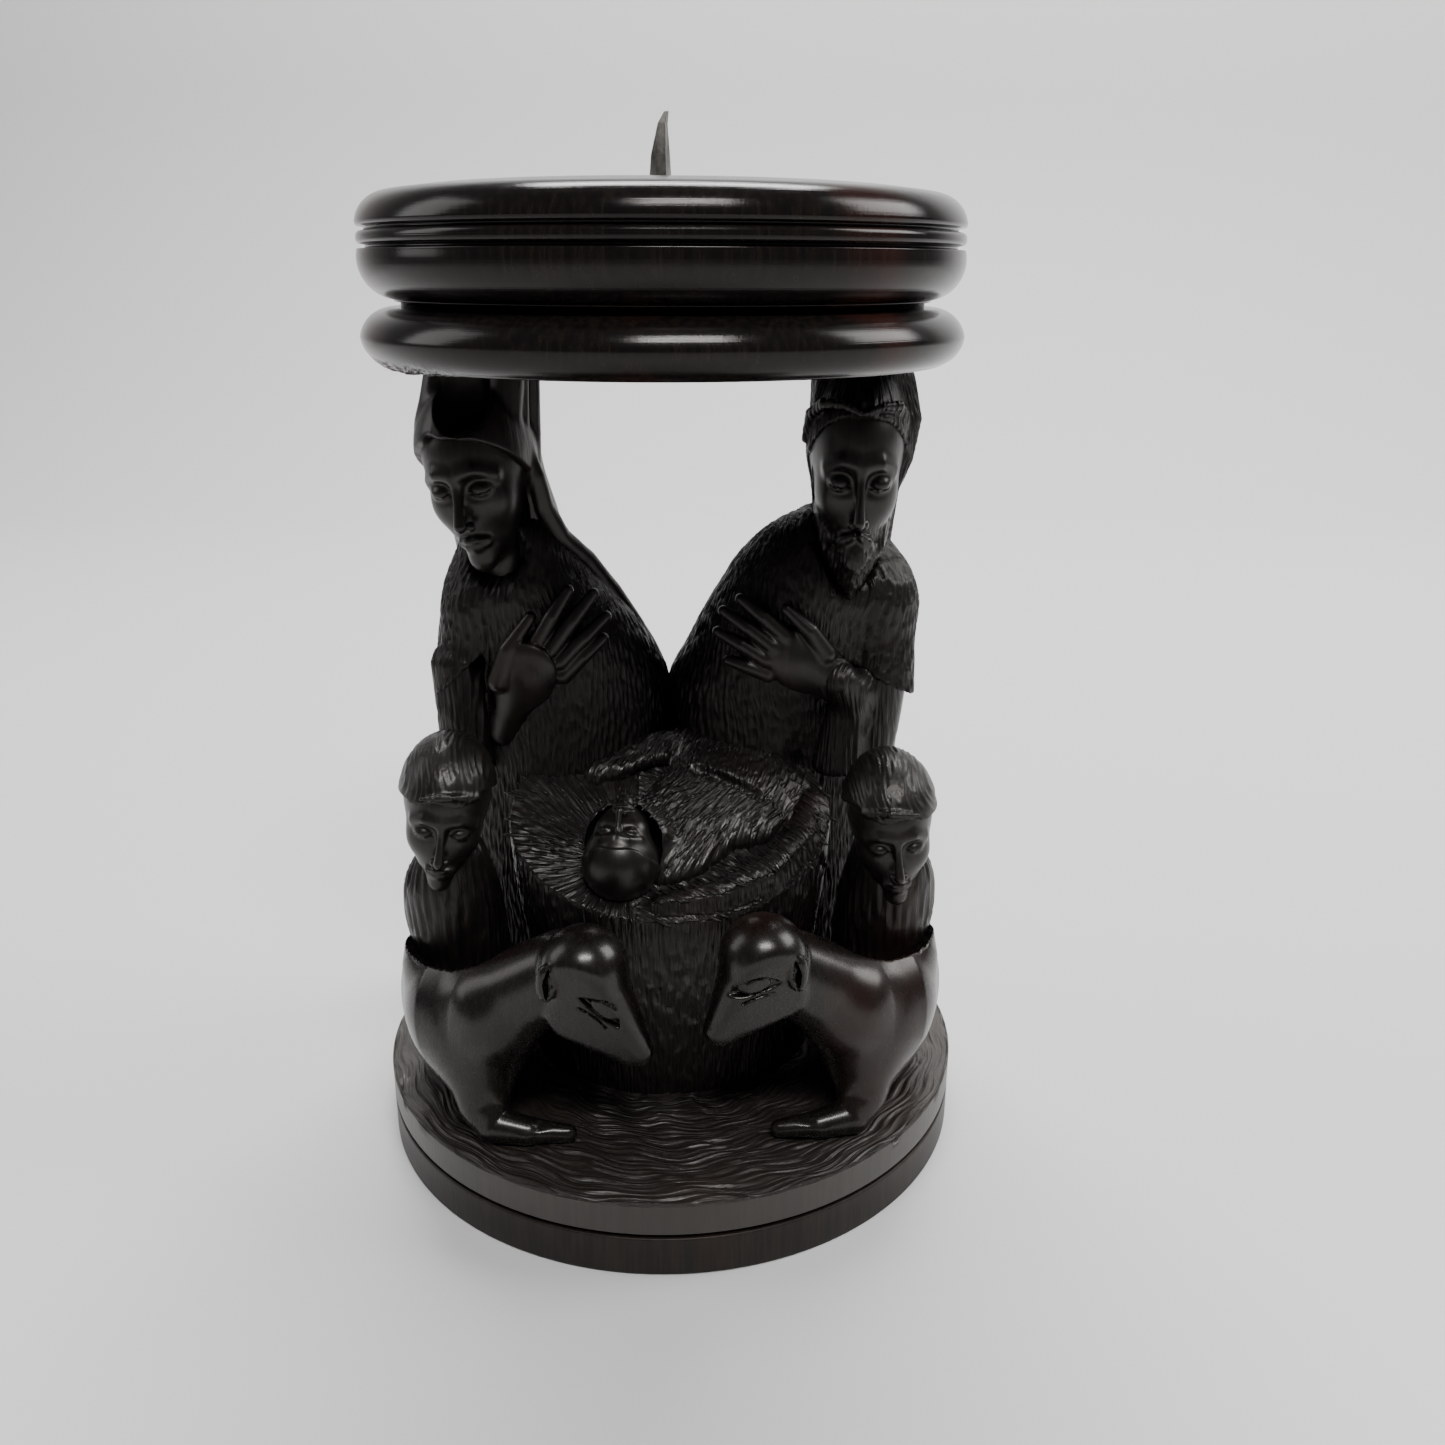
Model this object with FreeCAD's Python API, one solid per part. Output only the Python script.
"""Carved blackwood candle stand with a pricket, in millimetres.

A turned base carries a carved nativity group.  Two tall figures, a veiled woman and a bearded
man, stand at the back and carry a turned ring on their heads.  A turned candle plate with an
iron pricket sits on the ring.  Between them lies an infant in a manger, with a young shepherd
at each side and a lying lamb at each side of the front.

+Z is up, -Y is the front, +X is the right-hand side seen from the front.  The origin is the
centre of the underside of the base.
"""

import FreeCAD
import Part

import math
import os

V = FreeCAD.Vector

# ---- driving sizes -------------------------------------------------------------------------
BASE_R = 67.4            # base, and the turned log that everything is cut from at the bottom
BASE_DISC_H = 9.0        # lower disc of the base
SEAM_H = 0.9             # open seam between the two discs
SEAM_DEPTH = 1.8
DECK_Z = 17.4            # carved ground that the figures stand on
DECK_EDGE = 0.6          # worn edge of the ground and of the base
SPIGOT_R = 20.0          # spigot of the lower disc, glued into the upper one
SPIGOT_H = 4.0

RING_Z = 175.0           # underside of the ring, on the heads
RING_TOP_Z = 185.6
RING_R = 60.8
RING_FLAT_R = 56.5       # where the ring's round edge starts, above and below

PLATE_R = 60.0
PLATE_NECK_R = 52.6      # deep groove between ring and plate
PLATE_NECK_H = 1.1
PLATE_TOP_Z = 207.6      # flat seat for the candle
SEAT_R = 45.0

DOWEL_R = 5.0            # glued dowel between ring and plate
DOWEL_Z = (178.0, 192.0)

SPIKE_TIP_Z = 221.9
SPIKE_HALF = 2.65        # half width of the spike where it leaves the plate
TANG_R = 2.0             # its tang, driven into the plate
TANG_Z = 194.5

MANGER_SLOPE = 27.0      # degrees, the top of the manger falls to the front
SHEPHERD_X = 47.5
SHEPHERD_Y = -23.0
PLUG_R = 1.6             # round plug in a shepherd's hair


# ---- shape helpers -------------------------------------------------------------------------
def turned(points):
    """Solid of revolution about Z.  A point (r, z) joins by a line, (r, z, rm, zm) by an arc
    through (rm, zm)."""
    edges = []
    here = V(points[0][0], 0, points[0][1])
    for p in points[1:] + points[:1]:
        there = V(p[0], 0, p[1])
        if len(p) == 4:
            edges.append(Part.Arc(here, V(p[2], 0, p[3]), there).toShape())
        elif there.distanceToPoint(here) > 1e-6:
            edges.append(Part.LineSegment(here, there).toShape())
        here = there
    face = Part.Face(Part.Wire(edges))
    return face.revolve(V(0, 0, 0), V(0, 0, 1), 360)


def cylinder(radius, z_low, z_high):
    return Part.makeCylinder(radius, z_high - z_low, V(0, 0, z_low))


def draped(sections):
    """Smooth solid through level ellipses, each (z, centre x, centre y, half x, half y)."""
    wires = []
    for z, cx, cy, half_x, half_y in sections:
        if half_x >= half_y:
            ellipse = Part.Ellipse(V(cx, cy, z), half_x, half_y)
        else:
            ellipse = Part.Ellipse(V(cx, cy + half_y, z), V(cx + half_x, cy, z), V(cx, cy, z))
        wires.append(Part.Wire([ellipse.toShape()]))
    return Part.makeLoft(wires, True, False)


def spun(edges, centre, towards):
    """Closed half outline above the X axis, spun about that axis as two half turns, then laid
    with its start at centre and its axis along towards."""
    face = Part.Face(Part.Wire(edges))
    half = face.revolve(V(0, 0, 0), V(1, 0, 0), 180)
    face.rotate(V(0, 0, 0), V(1, 0, 0), 180)
    solid = half.fuse(face.revolve(V(0, 0, 0), V(1, 0, 0), 180))
    solid.Placement = FreeCAD.Placement(centre, FreeCAD.Rotation(V(1, 0, 0), towards))
    return solid.toNurbs()


def egg(centre, half_width, half_length, towards):
    """Ellipsoid, round across the direction given by towards."""
    arc = Part.Arc(Part.Ellipse(V(0, 0, 0), half_length, half_width), 0, math.pi).toShape()
    axis = Part.LineSegment(V(-half_length, 0, 0), V(half_length, 0, 0)).toShape()
    return spun([arc, axis], V(*centre), V(*towards))


def limb(start, end, r_start, r_end):
    """Tapered limb with a ball of the given radius at each of its two points."""
    length = V(*start).distanceToPoint(V(*end))
    taper = math.asin((r_start - r_end) / length)

    def ball_point(x, radius, angle):
        return V(x + radius * math.sin(angle), radius * math.cos(angle), 0)

    tail = V(-r_start, 0, 0)
    nose = V(length + r_end, 0, 0)
    leave = ball_point(0, r_start, taper)
    arrive = ball_point(length, r_end, taper)
    behind = ball_point(0, r_start, (taper - math.pi / 2) / 2)
    ahead = ball_point(length, r_end, (taper + math.pi / 2) / 2)
    edges = [
        Part.Arc(tail, behind, leave), Part.LineSegment(leave, arrive),
        Part.Arc(arrive, ahead, nose), Part.LineSegment(nose, tail),
    ]
    return spun([edge.toShape() for edge in edges], V(*start), V(*end) - V(*start))


def fused(*solids):
    shape = solids[0]
    for solid in solids[1:]:
        shape = shape.fuse(solid)
    return shape


def between(shape, z_low, z_high):
    """The part of a shape between two levels."""
    slab = Part.makeBox(400, 400, z_high - z_low, V(-200, -200, z_low))
    return shape.common(slab)


# ---- turned pieces -------------------------------------------------------------------------
def base_disc():
    spigot_z = BASE_DISC_H + SEAM_H + SPIGOT_H
    seam_r = BASE_R - SEAM_DEPTH
    return turned([
        (0, 0), (BASE_R - DECK_EDGE, 0), (BASE_R, DECK_EDGE), (BASE_R, BASE_DISC_H),
        (seam_r, BASE_DISC_H), (seam_r, BASE_DISC_H + SEAM_H), (SPIGOT_R, BASE_DISC_H + SEAM_H),
        (SPIGOT_R, spigot_z), (0, spigot_z),
    ])


def ground_disc():
    low = BASE_DISC_H + SEAM_H
    return turned([
        (0, low + SPIGOT_H), (SPIGOT_R, low + SPIGOT_H), (SPIGOT_R, low), (BASE_R, low),
        (BASE_R, DECK_Z - DECK_EDGE), (BASE_R - DECK_EDGE, DECK_Z), (0, DECK_Z),
    ])


def head_ring():
    middle_z = (RING_Z + RING_TOP_Z) / 2
    return turned([
        (0, RING_Z), (RING_FLAT_R, RING_Z), (RING_FLAT_R - 2, RING_TOP_Z, RING_R, middle_z),
        (DOWEL_R, RING_TOP_Z), (DOWEL_R, DOWEL_Z[0]), (0, DOWEL_Z[0]),
    ])


def candle_plate():
    neck_z = RING_TOP_Z + PLATE_NECK_H
    groove_r = PLATE_R - 1.6
    groove_z = (196.3, 197.0, 199.6, 200.4)
    bead_z = (groove_z[1] + groove_z[2]) / 2
    return turned([
        (DOWEL_R, RING_TOP_Z), (PLATE_NECK_R, RING_TOP_Z), (PLATE_NECK_R, neck_z),
        (PLATE_NECK_R + 1.2, neck_z), (PLATE_R, groove_z[0], PLATE_R - 1.9, 189.3),
        (groove_r, groove_z[0]), (groove_r, groove_z[1]),
        (groove_r, groove_z[2], PLATE_R, bead_z),
        (groove_r, groove_z[3]), (PLATE_R, groove_z[3]), (PLATE_R - 0.1, groove_z[3] + 1.2),
        (53.5, 206.6, 58.5, 204.4), (SEAT_R, PLATE_TOP_Z),
        (TANG_R, PLATE_TOP_Z), (TANG_R, TANG_Z), (0, TANG_Z), (0, DOWEL_Z[1]), (DOWEL_R, DOWEL_Z[1]),
    ])


def plate_dowel():
    return cylinder(DOWEL_R, *DOWEL_Z)


def pricket():
    """Hand-forged four-sided spike with its point bent a little to the right."""
    height = SPIKE_TIP_Z - PLATE_TOP_Z
    wires = []
    for share, size, lean in ((0.0, 1.0, -0.6), (0.45, 0.8, -0.5), (0.85, 0.42, 0.0), (1.0, 0.2, 0.75)):
        half = SPIKE_HALF * size
        turn = math.radians(28)
        corners = []
        for k in range(4):
            angle = turn + k * math.pi / 2
            corners.append(V(lean + half * math.cos(angle), half * math.sin(angle),
                             PLATE_TOP_Z + height * share))
        wires.append(Part.makePolygon(corners + corners[:1]))
    blade = Part.makeLoft(wires, True, True)
    return fused(blade, cylinder(TANG_R, TANG_Z, PLATE_TOP_Z))


# ---- the two tall figures ------------------------------------------------------------------
def woman_robe():
    return draped([
        (DECK_Z, -27.5, 26.0, 27.0, 24.5),
        (60.0, -27.5, 26.0, 27.5, 24.5),
        (92.0, -27.5, 25.0, 27.5, 22.5),
        (107.0, -29.5, 22.0, 26.0, 20.5),
        (120.0, -32.0, 18.5, 21.5, 18.5),
        (131.0, -33.5, 16.0, 15.5, 15.0),
        (141.0, -34.5, 15.0, 10.0, 10.5),
    ])


def man_robe():
    return draped([
        (DECK_Z, 27.5, 26.0, 27.0, 24.5),
        (60.0, 27.5, 26.0, 27.5, 24.5),
        (92.0, 28.0, 25.0, 28.0, 22.5),
        (107.0, 30.5, 22.0, 27.0, 21.0),
        (120.0, 34.0, 18.5, 24.5, 18.5),
        (131.0, 35.0, 16.0, 18.5, 14.5),
        (141.0, 38.0, 15.0, 9.0, 9.5),
    ])


def woman_veil():
    return draped([
        (128.0, -36.0, 13.0, 13.0, 11.0),
        (140.0, -37.5, 13.5, 12.5, 12.5),
        (152.0, -40.0, 11.5, 12.8, 13.5),
        (163.0, -41.6, 10.5, 12.4, 13.5),
        (RING_Z, -39.8, 10.5, 9.8, 12.0),
    ])


def woman_head():
    return egg((-41.6, 3.0, 147.5), 9.9, 16.9, (0.17, -0.07, -1.0))


def man_head():
    return egg((42.2, 3.0, 147.0), 9.8, 17.5, (-0.03, -0.08, -1.0))


def man_beard():
    return limb((41.8, 0.0, 133.0), (41.2, -0.6, 126.5), 6.8, 3.0)


def man_hair():
    return draped([
        (138.0, 43.0, 16.0, 8.5, 8.0),
        (150.0, 43.6, 13.0, 11.0, 11.0),
        (162.0, 43.2, 10.5, 12.0, 12.8),
        (RING_Z, 42.0, 10.5, 10.6, 11.5),
    ])


def sleeve(side):
    """Wide hanging sleeve of the bent arm, from the elbow to the wrist."""
    return limb((side * 48.5, 4.0, 99.0), (side * 39.5, -2.0, 101.5), 7.0, 4.8)


def hand(side):
    """Flat hand laid on the breast, fingers up and inwards."""
    return limb((side * 33.5, -3.0, 107.5), (side * 18.5, -1.5, 119.5), 5.4, 3.4)


# ---- manger, infant, shepherds, lambs ------------------------------------------------------
def manger():
    """Round heap of straw; its top is cut on a slope down to the front."""
    block = draped([
        (DECK_Z, 0, -4.0, 36.0, 29.0),
        (45.0, 0, -6.0, 35.0, 29.0),
        (70.0, 0, -8.0, 35.5, 28.0),
        (100.0, 0, -9.0, 36.0, 27.5),
    ])
    front_edge = V(-100, -36.0, 63.5)
    above = Part.makeBox(200, 120, 80)
    above.Placement = FreeCAD.Placement(front_edge, FreeCAD.Rotation(V(1, 0, 0), MANGER_SLOPE))
    return block.cut(above)


def infant_cover():
    return egg((8.5, -12.0, 78.5), 10.5, 23.0, (0.80, 0.52, 0.26))


def infant_head():
    return egg((-10.6, -23.5, 75.0), 8.6, 9.8, (-0.3, -0.5, 0.7))


def shepherd_body(side):
    x = side * SHEPHERD_X
    return draped([
        (DECK_Z, x, SHEPHERD_Y + 11.0, 10.5, 13.0),
        (50.0, x, SHEPHERD_Y + 9.0, 10.5, 13.0),
        (65.0, x + side * 0.8, SHEPHERD_Y + 5.0, 9.5, 10.5),
        (79.0, x - side * 0.5, SHEPHERD_Y + 3.0, 6.5, 7.5),
    ])


def shepherd_head(side):
    z = 85.5 if side < 0 else 80.5
    tilt = 0.14 if side < 0 else 0.05
    return egg((side * SHEPHERD_X, SHEPHERD_Y, z), 9.4, 16.6, (-tilt, -0.12, -1.0))


def hair_plug():
    """Round plug that fills a knot hole in the right-hand shepherd's hair."""
    plug = Part.makeCylinder(PLUG_R, 4.0, V(0, 0, -2.5))
    plug.Placement = FreeCAD.Placement(V(46.3, -31.0, 90.0), FreeCAD.Rotation(V(0, 0, 1), V(0, -0.85, 0.5)))
    return plug


def lamb_left():
    """Lying lamb: haunch, barrel, chest, folded foreleg, neck, and head turned to the middle."""
    haunch = egg((-45.0, -21.0, 38.0), 16.0, 21.0, (-0.1, 0.2, 1.0))
    barrel = limb((-44.0, -28.0, 41.0), (-38.5, -37.0, 44.0), 15.5, 11.0)
    chest = limb((-42.5, -35.0, 37.0), (-40.5, -41.0, 24.0), 12.0, 6.0)
    foot = limb((-40.0, -42.0, 21.8), (-24.0, -45.0, 20.2), 4.2, 2.6)
    neck = limb((-36.0, -38.0, 48.0), (-22.0, -46.0, 57.0), 10.0, 8.6)
    head = egg((-15.0, -49.5, 55.5), 8.4, 17.0, (0.5, -0.12, -1.0))
    return fused(haunch, barrel, chest, foot, neck, head)


def lamb_right():
    return lamb_left().mirror(V(0, 0, 0), V(1, 0, 0))


# ---- assembly ------------------------------------------------------------------------------
def main():
    os.makedirs("parts", exist_ok=True)
    pieces = {
        "base_disc": base_disc(),
        "ground_disc": ground_disc(),
        "head_ring": head_ring(),
        "candle_plate": candle_plate(),
        "plate_dowel": plate_dowel(),
        "pricket": pricket(),
    }
    # Where two carved pieces meet, the one named first keeps its shape.
    carved = {
        "hair_plug": hair_plug(),
        "woman_hand": hand(-1),
        "man_hand": hand(1),
        "man_beard": man_beard(),
        "woman_head": woman_head(),
        "man_head": man_head(),
        "woman_sleeve": sleeve(-1),
        "man_sleeve": sleeve(1),
        "woman_veil": woman_veil(),
        "man_hair": man_hair(),
        "infant_head": infant_head(),
        "lamb_left": lamb_left(),
        "lamb_right": lamb_right(),
        "shepherd_left_head": shepherd_head(-1),
        "shepherd_right_head": shepherd_head(1),
        "shepherd_left_body": shepherd_body(-1),
        "shepherd_right_body": shepherd_body(1),
        "infant_cover": infant_cover(),
        "manger": manger(),
        "woman_robe": woman_robe(),
        "man_robe": man_robe(),
    }
    kept = []
    for name, shape in carved.items():
        shape = between(shape, DECK_Z, RING_Z)
        for other in kept:
            if shape.BoundBox.intersect(other.BoundBox):
                shape = shape.cut(other)
        largest = max(shape.Solids, key=lambda solid: solid.Volume)
        kept.append(largest)
        pieces[name] = largest
    for name, shape in pieces.items():
        print(f"{name}: valid {shape.isValid()}, {shape.Volume / 1000:.2f} cm3, {len(shape.Solids)} solid")
        shape.exportStep(f"parts/{name}.step")


main()
